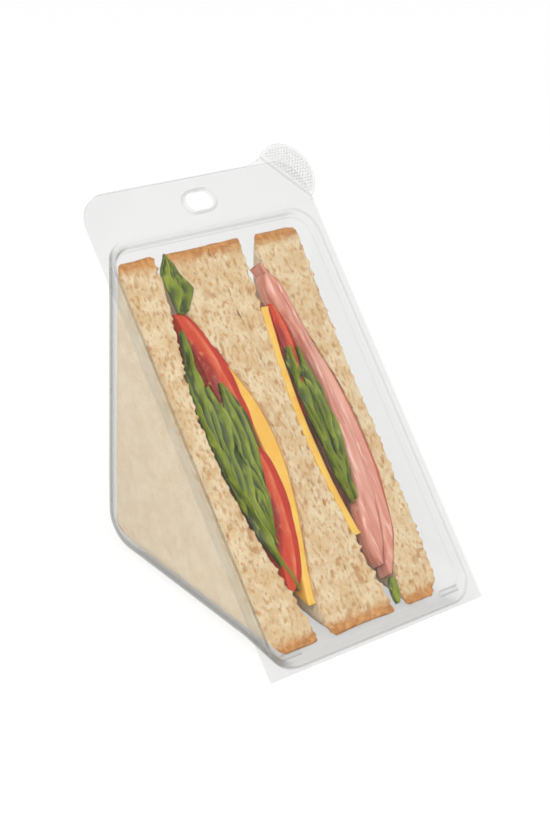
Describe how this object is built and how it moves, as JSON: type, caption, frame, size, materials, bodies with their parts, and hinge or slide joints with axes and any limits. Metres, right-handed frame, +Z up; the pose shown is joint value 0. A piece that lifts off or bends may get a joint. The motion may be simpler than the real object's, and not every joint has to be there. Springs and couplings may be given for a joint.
{
  "type": "sandwich wedge pack",
  "caption": "Clear hinged wedge pack with a sloping window lid, hang slot and peel tab, holding two cut brown bread sandwiches with tomato, lettuce, cheese and ham.",
  "frame": {"origin": "middle of the pack's footprint, on the surface that the hinge edge and the heel rest on", "axes": "+Z up, +X to the right across the window, +Y towards the back wall; the window faces -Y and up"},
  "size_m": [0.097, 0.1154, 0.1255],
  "materials": {
    "clear_plastic": "clear thermoformed sheet, smooth and glossy",
    "bread": "brown bread: open crumb on the cut, browned crust",
    "cheese": "smooth, waxy",
    "tomato": "wet cut flesh and glossy skin",
    "lettuce": "crisp, slightly glossy leaf",
    "ham": "moist, with a brown rind"
  },
  "bodies": {
    "tray": {"tray": "clear_plastic", "bread_left_outer": "bread", "bread_left_inner": "bread", "bread_right_inner": "bread", "bread_right_outer": "bread", "cheese_left": "cheese", "cheese_right": "cheese", "tomato_left_upper": "tomato", "tomato_left_lower": "tomato", "tomato_right": "tomato", "lettuce_left_outer": "lettuce", "lettuce_left_middle": "lettuce", "lettuce_left_inner": "lettuce", "lettuce_left_tip": "lettuce", "lettuce_right_outer": "lettuce", "lettuce_right_inner": "lettuce", "lettuce_right_foot": "lettuce", "ham_outer": "ham", "ham_inner": "ham"},
    "lid": {"lid": "clear_plastic"}
  },
  "joints": [
    {"name": "lid_hinge", "type": "hinge", "parent": "tray", "child": "lid", "pos_m": [0, -0.05741, 0.00026], "axis": [1, 0, 0], "range_deg": [0, 130]}
  ]
}
